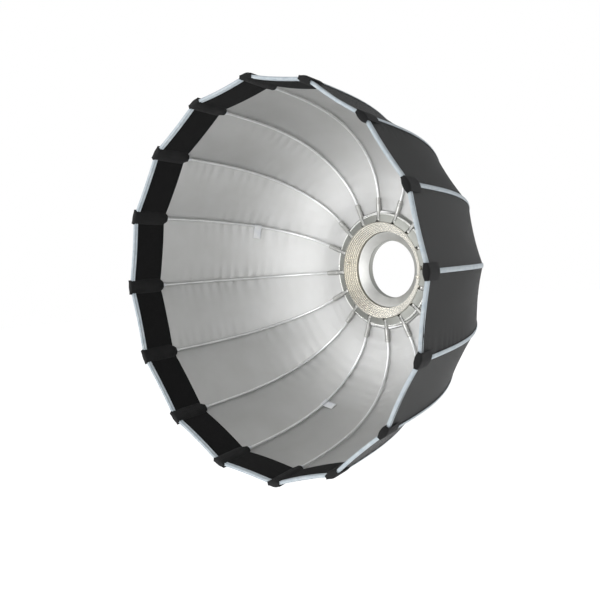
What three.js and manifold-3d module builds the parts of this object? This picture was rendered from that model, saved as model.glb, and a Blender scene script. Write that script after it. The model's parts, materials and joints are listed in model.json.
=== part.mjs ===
// A deep sixteen-rib softbox that folds like an umbrella.
//
// Millimetres, +Z up. The axis of the bowl is the Y axis: the lamp's mount ring ends at y = 0 and the bowl
// opens towards -Y. Profiles are drawn in a half plane through the axis, as (radius, ahead), where ahead is
// the distance in front of the mount face. Rib 1 is at the top, and the numbers run clockwise from the front.

import * as THREE from 'three'
import { mergeVertices } from 'three/addons/utils/BufferGeometryUtils.js'
import Module from 'manifold-3d'

const wasm = await Module()
wasm.setup()

// ---- driving dimensions ------------------------------------------------------------------------------

const RIBS = 16
const GAP = 0.3 // between pieces that touch
const ROUND = 48 // sides of a turned piece, a multiple of RIBS
const MERGE = 1e-4 // vertices closer than this are one

// the ribs
const LEVER_TILT = -2 // degrees forward of straight out, where the lever lies in its slot
const FREE_LENGTH = 380 // of rib line past its straight start, to the rim
const ROD_BEND = 81.3 // degrees that the stretched cloth bends the rod
const BEND_EASE = 2.8 // how soon the bend dies out along the rod: 1 is a circle
const ROD_RADIUS = 2
const ROD_SIDES = 6
const ROD_STEPS = 21
const POCKET_DEPTH = 8 // from the rod's tip to the rim
const STRAIGHT_LENGTH = 25 // of rib past the hub's wall, before the rod starts to bend
const FERRULE_RADIUS = 4
const FERRULE_LENGTH = 24
const FERRULE_BORE_DEPTH = 18
const LEVER_WIDTH = 5
const LEVER_HEIGHT = 5.6
const EYE_RADIUS = 3.6

// the cloth
const CLOTH_STANDOFF = 5.4 // from the rib line to the cloth's inner face
const CLOTH_THICKNESS = 1.2
const SEAM_GAP = 0.5 // between neighbouring gores
const GORE_STEPS = 12
const HUB_TO_CLOTH = 2

// the hub
const HUB_RADIUS = 97.5
const HUB_WALL = 4
const HUB_FRONT = 35.5 // the lip, at the outer edge of the sloping front
const COVER_FRONT = 40 // the inner edge of the sloping front
const COVER_THICKNESS = 2.2
const HUB_BACK = 12
const HUB_FLOOR = 4 // thickness of the trough's floor
const HUB_BORE = 60
const BOSS_INNER = 62 // the boss that the mount ring is screwed to
const BOSS_OUTER = 73
const TROUGH_WIDTH = 11.5
const SLOT_WIDTH = 6.6
const PIVOT_AHEAD = 35
const EYE_CLEARANCE = 1 // between a lever's eye and the reflector's skirt
const WIRE_RADIUS = 1.25
const WEB_WIDTH = 6

// the stepped reflector
const REFLECTOR_BORE = 65
const REFLECTOR_INNER_AHEAD = 25
const REFLECTOR_FRONT = 41
const REFLECTOR_STEPS = 6
const REFLECTOR_WALL = 1.5
const BACK_THICKNESS = 2.2 // behind the foot of each step

// the throat and the mount ring
const THROAT_RADIUS = 49
const THROAT_WALL = 5
const THROAT_LENGTH = 10
const FLANGE_RADIUS = 75
const FLANGE_THICKNESS = 4
const FUNNEL_WALL = 1.6
const CLAWS = 3
const CLAW_RADIUS = 56 // inside of a bayonet claw
const CLAW_WALL = 3.5
const CLAW_REACH = 8 // how far the claw's lip reaches out
const CLAW_HEIGHT = 8.5
const CLAW_LIP = 2.5
const CLAW_ANGLE = 40

// screws
const FLANGE_SCREWS = 3
const FACE_SCREWS = 2 // opposite each other, halfway between two ribs
const SCREW_SHANK = 1.4
const SCREW_HEAD = 2.9
const SCREW_HEAD_HEIGHT = 1.9
const FLANGE_SCREW_LENGTH = 9
const FACE_SCREW_LENGTH = 24

// ---- worked out from them ------------------------------------------------------------------------------

const rad = THREE.MathUtils.degToRad
const STEP = (2 * Math.PI) / RIBS
const HALF = STEP / 2
const tilt = rad(LEVER_TILT)
const bend = rad(ROD_BEND)
const wallInner = HUB_RADIUS - HUB_WALL
const skirtOuter = wallInner - TROUGH_WIDTH
const pivotRadius = skirtOuter + EYE_CLEARANCE + EYE_RADIUS
const floorTop = HUB_BACK + HUB_FLOOR
const ferruleStart = (HUB_RADIUS + HUB_TO_CLOTH - pivotRadius) / Math.cos(tilt)
const ferruleEnd = ferruleStart + FERRULE_LENGTH
const straight = ferruleStart + STRAIGHT_LENGTH // the rib line's straight start, from the pivot
const ribEnd = straight + FREE_LENGTH
const reflectorOuter = skirtOuter - REFLECTOR_WALL
const stepRun = (reflectorOuter - REFLECTOR_BORE) / REFLECTOR_STEPS
const stepRise = (REFLECTOR_FRONT - REFLECTOR_INNER_AHEAD) / REFLECTOR_STEPS
const faceScrewRadius = REFLECTOR_BORE + 11
const flangeScrewRadius = (BOSS_INNER + BOSS_OUTER) / 2
const padBack = floorTop + 3
const padFront = treadAt(faceScrewRadius + SCREW_HEAD)

const slopeAt = (u) => tilt + bend * (1 - (1 - u) ** BEND_EASE)

/** A point of the rib line, s along it from the pivot, with its slope forward of straight out. */
function ribPoint(s) {
  const lineEnd = Math.min(s, straight)
  const point = {
    radius: pivotRadius + lineEnd * Math.cos(tilt),
    ahead: PIVOT_AHEAD + lineEnd * Math.sin(tilt),
    slope: tilt,
  }
  const past = (s - straight) / FREE_LENGTH
  if (past <= 0) return point
  const pieces = 60
  for (let k = 0; k < pieces; k++) {
    const slope = slopeAt((past * (k + 0.5)) / pieces)
    point.radius += (Math.cos(slope) * past * FREE_LENGTH) / pieces
    point.ahead += (Math.sin(slope) * past * FREE_LENGTH) / pieces
  }
  point.slope = slopeAt(past)
  return point
}

/** The rib line moved outwards by a distance. */
function besideRib(s, distance) {
  const { radius, ahead, slope } = ribPoint(s)
  return { radius: radius + distance * Math.sin(slope), ahead: ahead - distance * Math.cos(slope) }
}

/** How far ahead the reflector's back is at a radius. */
function backOfStepsAt(radius) {
  return REFLECTOR_INNER_AHEAD + ((radius - REFLECTOR_BORE - stepRun) / stepRun) * stepRise - BACK_THICKNESS
}

/** How far ahead the reflector's step is at a radius. */
function treadAt(radius) {
  return REFLECTOR_INNER_AHEAD + Math.floor((radius - REFLECTOR_BORE) / stepRun) * stepRise
}

// ---- helpers ----------------------------------------------------------------------------------------------

/** A closed geometry as a solid that can be cut and joined. */
function solid(geometry) {
  const bare = geometry.clone()
  for (const name of Object.keys(bare.attributes)) if (name !== 'position') bare.deleteAttribute(name)
  const merged = mergeVertices(bare, MERGE)
  const mesh = new wasm.Mesh({
    numProp: 3,
    vertProperties: new Float32Array(merged.attributes.position.array),
    triVerts: new Uint32Array(merged.index.array),
  })
  return new wasm.Manifold(mesh)
}

/** The solid's triangles as a geometry. */
function geometryOf(manifold) {
  const mesh = manifold.getMesh()
  const geometry = new THREE.BufferGeometry()
  geometry.setAttribute('position', new THREE.BufferAttribute(new Float32Array(mesh.vertProperties), 3))
  geometry.setIndex(new THREE.BufferAttribute(new Uint32Array(mesh.triVerts), 1))
  geometry.computeVertexNormals()
  return geometry
}

/** A turned ring about the Y axis, from the corners [radius, ahead] of its section. */
function ring(corners, sides = ROUND, turn = 0) {
  const points = corners.map(([radius, ahead]) => new THREE.Vector2(radius, -ahead))
  if (THREE.ShapeUtils.area(points) < 0) points.reverse()
  points.push(points[0].clone())
  return new THREE.LatheGeometry(points, sides, turn)
}

/** A cylinder along the Y axis between two distances ahead, its centre at a radius and an angle. */
function post(radius, from, to, at = 0, angle = 0, sides = 12) {
  const geometry = new THREE.CylinderGeometry(radius, radius, Math.abs(to - from), sides)
  geometry.translate(0, -(from + to) / 2, at)
  return geometry.rotateY(angle)
}

/** A box in a rib's half plane: across it, between two radii and between two distances ahead. */
function block(width, inner, outer, from, to, angle = 0) {
  const geometry = new THREE.BoxGeometry(width, to - from, outer - inner)
  geometry.translate(0, -(from + to) / 2, (inner + outer) / 2)
  return geometry.rotateY(angle)
}

/** A closed solid through sections that have the same number of corners. */
function loft(sections) {
  const n = sections[0].length
  const faces = []
  for (let j = 0; j + 1 < sections.length; j++) {
    for (let k = 0; k < n; k++) {
      const a = j * n + k
      const b = j * n + ((k + 1) % n)
      faces.push(a, b, b + n, a, b + n, a + n)
    }
  }
  const last = (sections.length - 1) * n
  for (let k = 1; k + 1 < n; k++) {
    faces.push(0, k + 1, k)
    faces.push(last, last + k, last + k + 1)
  }
  const geometry = new THREE.BufferGeometry()
  const flat = sections.flat().flatMap((p) => [p.x, p.y, p.z])
  geometry.setAttribute('position', new THREE.Float32BufferAttribute(flat, 3))
  geometry.setIndex(faces)
  geometry.computeVertexNormals()
  return geometry
}

const around = (count, make, start = 0) =>
  Array.from({ length: count }, (_, i) => make(start + (i * 2 * Math.PI) / count))

const cutAll = (body, tools) => tools.reduce((left, tool) => left.subtract(solid(tool)), body)
const joinAll = (body, pieces) => pieces.reduce((sum, piece) => sum.add(solid(piece)), body)

// ---- materials -------------------------------------------------------------------------------------------------

const look = (color, metalness, roughness) => new THREE.MeshStandardMaterial({ color, metalness, roughness })
const nickel = look('#cfcac0', 1, 0.28)
const aluminium = look('#b9b8b4', 1, 0.4)
const steel = look('#c8c8c8', 1, 0.3)
const blackCloth = look('#3a3a3a', 0, 0.85)
const darkMetal = look('#2b2b2c', 1, 0.45)

const softbox = new THREE.Group()

function add(name, geometry, material, angle = 0) {
  const mesh = new THREE.Mesh(geometry, material)
  mesh.name = name
  mesh.rotation.y = angle
  softbox.add(mesh)
}

// ---- the hub ------------------------------------------------------------------------------------------------------

/** Cast ring: a trough, closed by a sloping front with a slot for each lever, and webs that seat the hinge wire. */
function hubBody() {
  const coverInner = skirtOuter + GAP
  const section = [
    [HUB_RADIUS, HUB_BACK],
    [HUB_RADIUS, HUB_FRONT],
    [coverInner, COVER_FRONT],
    [coverInner, COVER_FRONT - COVER_THICKNESS],
    [wallInner, HUB_FRONT - COVER_THICKNESS + 0.5],
    [wallInner, floorTop],
    [HUB_BORE, floorTop],
    [HUB_BORE, HUB_BACK],
    [BOSS_INNER, HUB_BACK],
    [BOSS_INNER, FLANGE_THICKNESS + GAP],
    [BOSS_OUTER, FLANGE_THICKNESS + GAP],
    [BOSS_OUTER, HUB_BACK],
  ]
  const webs = around(
    RIBS,
    (angle) => block(WEB_WIDTH, skirtOuter + 1, wallInner + 1, HUB_BACK + 1, PIVOT_AHEAD + 0.5, angle),
    HALF,
  )
  const leverAtCloth = PIVOT_AHEAD + (HUB_RADIUS + HUB_TO_CLOTH - pivotRadius) * Math.tan(tilt)
  const slotFloor = Math.min(PIVOT_AHEAD, leverAtCloth) - LEVER_HEIGHT / 2 / Math.cos(tilt) - GAP
  const slots = around(RIBS, (angle) =>
    block(SLOT_WIDTH, skirtOuter - 1, HUB_RADIUS + 2, slotFloor, COVER_FRONT + 2, angle),
  )
  const wireCorner = pivotRadius / Math.cos(HALF)
  const bore = WIRE_RADIUS + GAP
  const wireSection = [
    [wireCorner - bore, PIVOT_AHEAD - bore],
    [wireCorner + bore, PIVOT_AHEAD - bore],
    [wireCorner + bore, PIVOT_AHEAD + bore],
    [wireCorner - bore, PIVOT_AHEAD + bore],
  ]
  const wireWay = ring(wireSection, RIBS, HALF)
  const posts = faceScrewAngles().map((angle) => post(3.4, HUB_BACK + 1, padBack - GAP, faceScrewRadius, angle))
  const screwHoles = [
    ...faceScrewAngles().map((angle) => post(SCREW_SHANK + GAP, 0, padBack + 5, faceScrewRadius, angle)),
    ...flangeScrewAngles().map((angle) => post(SCREW_SHANK + GAP, 0, floorTop + 2, flangeScrewRadius, angle)),
  ]
  const cast = joinAll(solid(ring(section)), [...webs, ...posts])
  return geometryOf(cutAll(cast, [...slots, wireWay, ...screwHoles]))
}

function faceScrewAngles() {
  return around(FACE_SCREWS, (angle) => angle, -Math.PI / 2 + HALF)
}

function flangeScrewAngles() {
  return around(FLANGE_SCREWS, (angle) => angle, Math.PI / 2)
}

/** Bright cone in concentric steps, with a skirt that is the trough's inner wall. */
function steppedReflector() {
  const section = []
  for (let k = 0; k < REFLECTOR_STEPS; k++) {
    const ahead = REFLECTOR_INNER_AHEAD + k * stepRise
    section.push([REFLECTOR_BORE + k * stepRun, ahead])
    section.push([REFLECTOR_BORE + (k + 1) * stepRun, ahead])
  }
  section.push([reflectorOuter, REFLECTOR_FRONT])
  section.push([skirtOuter, REFLECTOR_FRONT])
  section.push([skirtOuter, floorTop + GAP])
  section.push([reflectorOuter, floorTop + GAP])
  section.push([reflectorOuter, backOfStepsAt(reflectorOuter)])
  section.push([REFLECTOR_BORE, backOfStepsAt(REFLECTOR_BORE)])
  const pads = faceScrewAngles().map((angle) => post(4, padBack, padFront, faceScrewRadius, angle))
  const holes = faceScrewAngles().flatMap((angle) => [
    post(SCREW_SHANK + GAP, padBack - 2, padFront + 2, faceScrewRadius, angle),
    post(SCREW_HEAD + 2 * GAP, padFront, REFLECTOR_FRONT + 2, faceScrewRadius, angle),
  ])
  return geometryOf(cutAll(joinAll(solid(ring(section)), pads), holes))
}

/** Plain cone from the mount ring's throat out to the reflector's bore. */
function throatFunnel() {
  const outer = REFLECTOR_BORE - GAP
  const back = THROAT_LENGTH + GAP
  const seat = floorTop + GAP // its back rests on the edge of the hub's bore
  const rise = (seat - back) / (HUB_BORE - THROAT_RADIUS - FUNNEL_WALL)
  const edge = back + rise * (outer - THROAT_RADIUS - FUNNEL_WALL)
  return ring([
    [THROAT_RADIUS, back],
    [THROAT_RADIUS + FUNNEL_WALL, back],
    [outer, edge],
    [outer, edge + FUNNEL_WALL],
    [outer - FUNNEL_WALL, edge + FUNNEL_WALL],
  ])
}

/** A curved bar about the Y axis, centred on an angle. */
function arcBar(inner, outer, from, to, spread, angle) {
  const shape = new THREE.Shape()
  shape.absarc(0, 0, outer, -spread / 2, spread / 2, false)
  shape.absarc(0, 0, inner, spread / 2, -spread / 2, true)
  const geometry = new THREE.ExtrudeGeometry(shape, { depth: to - from, bevelEnabled: false, curveSegments: 6 })
  geometry.rotateX(Math.PI / 2) // the drawing's depth now runs towards -Y
  geometry.translate(0, -from, 0)
  return geometry.rotateY(angle)
}

/** Rear flange with the throat tube and three bayonet claws behind it. */
function mountRing() {
  const section = [
    [THROAT_RADIUS, 0],
    [FLANGE_RADIUS, 0],
    [FLANGE_RADIUS, FLANGE_THICKNESS],
    [THROAT_RADIUS + THROAT_WALL, FLANGE_THICKNESS],
    [THROAT_RADIUS + THROAT_WALL, THROAT_LENGTH],
    [THROAT_RADIUS, THROAT_LENGTH],
  ]
  const spread = rad(CLAW_ANGLE)
  const claws = around(CLAWS, (angle) => angle).flatMap((angle) => [
    arcBar(CLAW_RADIUS, CLAW_RADIUS + CLAW_WALL, -CLAW_HEIGHT, 1, spread, angle),
    arcBar(CLAW_RADIUS, CLAW_RADIUS + CLAW_REACH, -CLAW_HEIGHT, CLAW_LIP - CLAW_HEIGHT, spread, angle),
  ])
  const seats = flangeScrewAngles().flatMap((angle) => [
    post(SCREW_HEAD + GAP, -1, SCREW_HEAD_HEIGHT + GAP, flangeScrewRadius, angle),
    post(SCREW_SHANK + GAP, -1, FLANGE_THICKNESS + 1, flangeScrewRadius, angle),
  ])
  return geometryOf(cutAll(joinAll(solid(ring(section)), claws), seats))
}

/** Sixteen-sided ring of wire: each straight side runs through one lever's eye. */
function hingeWire() {
  const corner = pivotRadius / Math.cos(HALF)
  const section = around(8, (angle) => [
    corner + WIRE_RADIUS * Math.cos(angle),
    PIVOT_AHEAD + WIRE_RADIUS * Math.sin(angle),
  ])
  return ring(section, RIBS, HALF)
}

/** Pan-head screw along Y, the underside of its head at a distance ahead. Head forward or back. */
function screw(seat, length, headForward) {
  const way = headForward ? 1 : -1
  const profile = [
    [0, -length],
    [SCREW_SHANK - GAP / 2, -length],
    [SCREW_SHANK - GAP / 2, 0],
    [SCREW_HEAD, 0],
    [SCREW_HEAD, SCREW_HEAD_HEIGHT * 0.6],
    [SCREW_HEAD * 0.6, SCREW_HEAD_HEIGHT],
    [0, SCREW_HEAD_HEIGHT],
  ]
  const points = profile.map(([radius, out]) => new THREE.Vector2(radius, -(seat + way * out)))
  if (headForward) points.reverse()
  return new THREE.LatheGeometry(points, 12)
}

// ---- the ribs and the cloth ------------------------------------------------------------------------------------------

/** Lever with its eye on the hinge wire and a bored ferrule for the rod, in rib 1's half plane. */
function lever() {
  const eye = new THREE.CylinderGeometry(EYE_RADIUS, EYE_RADIUS, LEVER_WIDTH, 12)
  eye.rotateZ(Math.PI / 2)
  const bar = new THREE.BoxGeometry(LEVER_WIDTH, LEVER_HEIGHT, ferruleStart + 2)
  bar.translate(0, 0, (ferruleStart + 2) / 2)
  const ferrule = new THREE.CylinderGeometry(FERRULE_RADIUS, FERRULE_RADIUS, FERRULE_LENGTH, 10)
  ferrule.rotateX(Math.PI / 2)
  ferrule.translate(0, 0, ferruleStart + FERRULE_LENGTH / 2)
  const bore = new THREE.CylinderGeometry(ROD_RADIUS + GAP, ROD_RADIUS + GAP, FERRULE_BORE_DEPTH + 2, 8)
  bore.rotateX(Math.PI / 2)
  bore.translate(0, 0, ferruleEnd - FERRULE_BORE_DEPTH / 2 + 1)
  const pinHole = new THREE.CylinderGeometry(WIRE_RADIUS + GAP, WIRE_RADIUS + GAP, LEVER_WIDTH + 2, 8)
  pinHole.rotateZ(Math.PI / 2)
  const geometry = geometryOf(cutAll(joinAll(solid(eye), [bar, ferrule]), [bore, pinHole]))
  geometry.rotateX(tilt)
  geometry.translate(0, -PIVOT_AHEAD, pivotRadius)
  return geometry
}

class RodLine extends THREE.Curve {
  getPoint(t, target = new THREE.Vector3()) {
    const start = ferruleEnd - FERRULE_BORE_DEPTH + 1
    const { radius, ahead } = ribPoint(start + t * (ribEnd - POCKET_DEPTH - start))
    return target.set(0, -ahead, radius)
  }
}

function rod() {
  const section = new THREE.Shape(
    around(ROD_SIDES, (a) => new THREE.Vector2(ROD_RADIUS * Math.cos(a), ROD_RADIUS * Math.sin(a))),
  )
  return new THREE.ExtrudeGeometry(section, { steps: ROD_STEPS, extrudePath: new RodLine() })
}

/** Where along the rib line the cloth starts, so that its flat panels clear the hub's wall. */
function clothStart() {
  const corner = (HUB_RADIUS + HUB_TO_CLOTH) / Math.cos(HALF)
  return (corner - pivotRadius - CLOTH_STANDOFF * Math.sin(tilt)) / Math.cos(tilt)
}

/** One cloth panel between rib 1 and the next: straight across, curved along. */
function gore() {
  const stations = [clothStart(), straight]
  for (let k = 1; k <= GORE_STEPS; k++) stations.push(straight + FREE_LENGTH * (k / GORE_STEPS) ** 1.25)
  const corner = ({ radius, ahead }, side) => {
    const angle = side * STEP
    const inset = (side === 0 ? 1 : -1) * (SEAM_GAP / 2)
    return new THREE.Vector3(
      radius * Math.sin(angle) + inset * Math.cos(angle),
      -ahead,
      radius * Math.cos(angle) - inset * Math.sin(angle),
    )
  }
  const sections = stations.map((s) => {
    const inside = besideRib(s, CLOTH_STANDOFF)
    const outside = besideRib(s, CLOTH_STANDOFF + CLOTH_THICKNESS)
    return [corner(inside, 0), corner(inside, 1), corner(outside, 1), corner(outside, 0)]
  })
  return loft(sections)
}

// ---- the assembly ------------------------------------------------------------------------------------------------------

add('mount_ring', mountRing(), aluminium)
add('throat_funnel', throatFunnel(), aluminium)
add('stepped_reflector', steppedReflector(), nickel)
add('hub_body', hubBody(), nickel)
add('hinge_wire', hingeWire(), steel)

faceScrewAngles().forEach((angle, i) => {
  const geometry = screw(padFront + GAP, FACE_SCREW_LENGTH, true).translate(0, 0, faceScrewRadius)
  add(`reflector_screw_${i + 1}`, geometry, steel, angle)
})
flangeScrewAngles().forEach((angle, i) => {
  const geometry = screw(SCREW_HEAD_HEIGHT, FLANGE_SCREW_LENGTH, false).translate(0, 0, flangeScrewRadius)
  add(`flange_screw_${i + 1}`, geometry, darkMetal, angle)
})

for (let i = 0; i < RIBS; i++) {
  const number = String(i + 1).padStart(2, '0')
  add(`lever_${number}`, lever(), aluminium, i * STEP)
  add(`rod_${number}`, rod(), steel, i * STEP)
  add(`gore_${number}`, gore(), blackCloth, i * STEP)
}

export default softbox
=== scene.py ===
# %% [markdown]
# # A folding parabolic softbox
# The real object is a deep bowl of cloth stretched over sixteen spring-steel ribs. The ribs hinge on a
# bright metal hub, and the hub locks onto a studio lamp. The engineering model already holds every moving
# piece at its real size, so the first step loads it. Each piece made below then takes its place from that
# model.
# %% Load the frame
import json
import math

import bmesh
import bpy
import numpy as np
from mathutils import Matrix, Vector


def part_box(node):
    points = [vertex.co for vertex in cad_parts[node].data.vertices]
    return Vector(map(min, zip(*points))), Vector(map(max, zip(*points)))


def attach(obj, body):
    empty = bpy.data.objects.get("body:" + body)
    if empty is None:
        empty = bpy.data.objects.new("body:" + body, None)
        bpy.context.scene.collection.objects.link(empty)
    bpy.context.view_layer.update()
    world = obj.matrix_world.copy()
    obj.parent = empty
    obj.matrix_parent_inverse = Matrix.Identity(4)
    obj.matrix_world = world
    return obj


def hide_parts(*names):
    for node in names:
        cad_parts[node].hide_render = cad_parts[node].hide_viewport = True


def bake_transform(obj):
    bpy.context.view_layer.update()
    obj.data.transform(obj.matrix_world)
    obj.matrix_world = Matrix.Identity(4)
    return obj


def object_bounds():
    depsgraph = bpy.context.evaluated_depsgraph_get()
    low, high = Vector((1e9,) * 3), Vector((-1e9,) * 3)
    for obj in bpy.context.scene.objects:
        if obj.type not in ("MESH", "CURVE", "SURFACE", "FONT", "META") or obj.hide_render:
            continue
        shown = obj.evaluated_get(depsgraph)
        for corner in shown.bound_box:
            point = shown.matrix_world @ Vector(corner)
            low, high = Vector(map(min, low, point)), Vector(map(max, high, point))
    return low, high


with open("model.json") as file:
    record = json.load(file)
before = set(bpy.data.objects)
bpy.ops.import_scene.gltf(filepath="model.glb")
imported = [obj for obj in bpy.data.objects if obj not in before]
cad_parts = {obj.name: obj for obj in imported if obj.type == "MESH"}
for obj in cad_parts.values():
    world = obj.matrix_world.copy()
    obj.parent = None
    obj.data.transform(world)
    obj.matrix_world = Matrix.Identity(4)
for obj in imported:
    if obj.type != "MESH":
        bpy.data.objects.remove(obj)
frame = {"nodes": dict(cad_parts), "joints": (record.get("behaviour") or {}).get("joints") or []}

cad_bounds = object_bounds()

# %% [markdown]
# ## The camera
# The camera stands in front and to the right of the bowl, level with its axis, and looks slightly across
# it. A longer lens, placed well back, keeps the bowl's far rim nearly as large as its near rim. The small
# shift slides the picture without turning the camera, so the bowl sits left of the middle.
# %% Camera
MM = 0.001
CAMERA_TURN = math.radians(44.48)  # round from straight in front, towards +X
CAMERA_RISE = math.radians(0.976)
CAMERA_ROLL = math.radians(-3.978)
CAMERA_DISTANCE = 1.7326

rim_middle = Vector((0, cad_bounds[0][1], 0))
away = Vector((
    math.sin(CAMERA_TURN) * math.cos(CAMERA_RISE),
    -math.cos(CAMERA_TURN) * math.cos(CAMERA_RISE),
    math.sin(CAMERA_RISE),
))
camera = bpy.data.objects.new("camera", bpy.data.cameras.new("camera"))
camera.data.lens = 68.3
camera.data.shift_x = 0.0648
camera.data.shift_y = -0.0339
camera.location = rim_middle + away * CAMERA_DISTANCE
facing = away.to_track_quat("Z", "Y").to_matrix().to_4x4()
camera.matrix_world = (
    Matrix.Translation(camera.location) @ facing @ Matrix.Rotation(CAMERA_ROLL, 4, "Z")
)
bpy.context.scene.collection.objects.link(camera)
bpy.context.scene.camera = camera
bpy.context.scene.view_settings.view_transform = "Standard"
print("the camera is at", [round(x, 3) for x in camera.matrix_world.translation])

# %% [markdown]
# ## The rib line
# Every curve of the bowl follows from one line: the middle of a rib. It leaves its hinge straight, leans
# back a touch, and then bends hard at first and less and less towards the rim, as a clamped spring does
# when its tip is pulled. The slope is written as a formula, and adding up small steps gives the line. A
# list of points traced by hand would wobble, and could not be checked against the frame.
# %% Rib line
RIBS = 16
STEP = 2 * math.pi / RIBS
HALF = STEP / 2
TILT = math.radians(-2)
BEND = math.radians(81.3)
BEND_EASE = 2.8
FREE_LENGTH = 380 * MM
HUB_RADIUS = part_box("hub_body")[1].x
STRAIGHT_LENGTH = 25 * MM
HUB_TO_CLOTH = 2 * MM

hinge = next(j for j in frame["joints"] if j["name"] == "rib_01_fold")
PIVOT_RADIUS, PIVOT_AHEAD = hinge["pos_m"][2], -hinge["pos_m"][1]
ferrule_start = (HUB_RADIUS + HUB_TO_CLOTH - PIVOT_RADIUS) / math.cos(TILT)
straight = ferrule_start + STRAIGHT_LENGTH
rib_end = straight + FREE_LENGTH

line_s = np.linspace(0, rib_end + 0.01, 900)
past = np.clip((line_s - straight) / FREE_LENGTH, 0, 1)
line_slope = TILT + BEND * (1 - (1 - past) ** BEND_EASE)
middle_slope = (line_slope[1:] + line_slope[:-1]) / 2
ds = line_s[1] - line_s[0]
line_radius = PIVOT_RADIUS + np.concatenate([[0], np.cumsum(np.cos(middle_slope))]) * ds
line_ahead = PIVOT_AHEAD + np.concatenate([[0], np.cumsum(np.sin(middle_slope))]) * ds


def rib_line(s, standoff=0.0):
    """Radius and distance ahead, s along the rib line and standoff outside it."""
    slope = np.interp(s, line_s, line_slope)
    radius = np.interp(s, line_s, line_radius) + standoff * np.sin(slope)
    return radius, np.interp(s, line_s, line_ahead) - standoff * np.cos(slope)


# %% [markdown]
# ## Two ways to lay a surface on the ribs
# A cloth panel is straight across, from one rib to the next, and curved along. A strip that is sewn over a
# rib bends round the corner between two panels instead. So there is one helper for each, and all the cloth,
# tape and piping is drawn with them. Both work on whole arrays of points, which is quick enough for fine
# wrinkles.
# %% Panel and corner points
def spoke(angle):
    """Unit directions out from the axis and round it, at an angle from the top."""
    out = np.array([math.sin(angle), 0, math.cos(angle)])
    return out, np.array([math.cos(angle), 0, -math.sin(angle)])


def panel_points(rib, s, across, standoff):
    """Points on the panel that follows a rib, across from -1 at that rib to 1 at the next one."""
    out, round_ = spoke((rib + 0.5) * STEP)
    radius, ahead = rib_line(s, standoff)
    flat_radius, half_width = radius * math.cos(HALF), radius * math.sin(HALF)
    points = flat_radius[..., None] * out + (half_width * across)[..., None] * round_
    points[..., 1] -= ahead
    return points


def corner_points(rib, s, side, standoff, soft=1.5 * MM):
    """Points beside a rib, side metres from it, on the two panels that meet there."""
    out, round_ = spoke(rib * STEP)
    radius, ahead = rib_line(s, standoff)
    drop = (np.sqrt(side**2 + soft**2) - soft) * math.sin(HALF)
    points = (radius - drop)[..., None] * out + (side * math.cos(HALF))[..., None] * round_
    points[..., 1] -= ahead
    return points


cloth_corner = (HUB_RADIUS + HUB_TO_CLOTH) / math.cos(HALF)
CLOTH_STANDOFF = 5.4 * MM
cloth_start = (cloth_corner - PIVOT_RADIUS - CLOTH_STANDOFF * math.sin(TILT)) / math.cos(TILT)
print("cloth runs from %.1f to %.1f mm along the rib line" % (cloth_start / MM, rib_end / MM))

# %% [markdown]
# ## Making meshes
# Cloth is a closed sheet here: a front grid, a back grid and the strip that joins their edges. That gives
# it a real edge and makes the mesh a closed solid. Turned metal is a profile spun round the axis. Rods
# are rings of points joined along a line.
# %% Mesh helpers
def make(name, points, faces, material, smooth=True):
    mesh = bpy.data.meshes.new(name)
    mesh.from_pydata(np.asarray(points, float).reshape(-1, 3).tolist(), [], faces)
    mesh.materials.append(material)
    mesh.polygons.foreach_set("use_smooth", [smooth] * len(mesh.polygons))
    mesh.validate()
    obj = bpy.data.objects.new(name, mesh)
    bpy.context.scene.collection.objects.link(obj)
    return obj


def point_outwards(obj):
    shape = bmesh.new()
    shape.from_mesh(obj.data)
    bmesh.ops.recalc_face_normals(shape, faces=shape.faces)
    shape.to_mesh(obj.data)
    shape.free()
    return obj


def closed_sheet(name, front, back, material):
    """A sheet between two grids of points that have the same rows and columns."""
    rows, columns = front.shape[:2]
    number = np.arange(rows * columns).reshape(rows, columns)
    quads = np.stack([number[:-1, :-1], number[:-1, 1:], number[1:, 1:], number[1:, :-1]], -1)
    quads = quads.reshape(-1, 4)
    faces = quads.tolist() + (quads[:, ::-1] + rows * columns).tolist()
    edge = np.concatenate([number[0, :-1], number[:-1, -1], number[-1, :0:-1], number[:0:-1, 0]])
    after = np.roll(edge, -1)
    far = rows * columns
    faces += np.stack([after, edge, edge + far, after + far], -1).tolist()
    points = np.concatenate([front.reshape(-1, 3), back.reshape(-1, 3)])
    return point_outwards(make(name, points, faces, material))


def turned(name, profile, material, sides=192):
    """A ring about the Y axis from the corners (radius, ahead) of its closed section."""
    angles = np.arange(sides) * 2 * math.pi / sides
    section = np.array(profile, float)
    points = np.stack([
        np.outer(np.sin(angles), section[:, 0]),
        np.outer(np.ones(sides), -section[:, 1]),
        np.outer(np.cos(angles), section[:, 0]),
    ], -1)
    number = np.arange(sides * len(section)).reshape(sides, -1)
    nxt, up = np.roll(number, -1, 0), np.roll(number, -1, 1)
    faces = np.stack([number, up, np.roll(nxt, -1, 1), nxt], -1).reshape(-1, 4).tolist()
    return point_outwards(make(name, points, faces, material))


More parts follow.
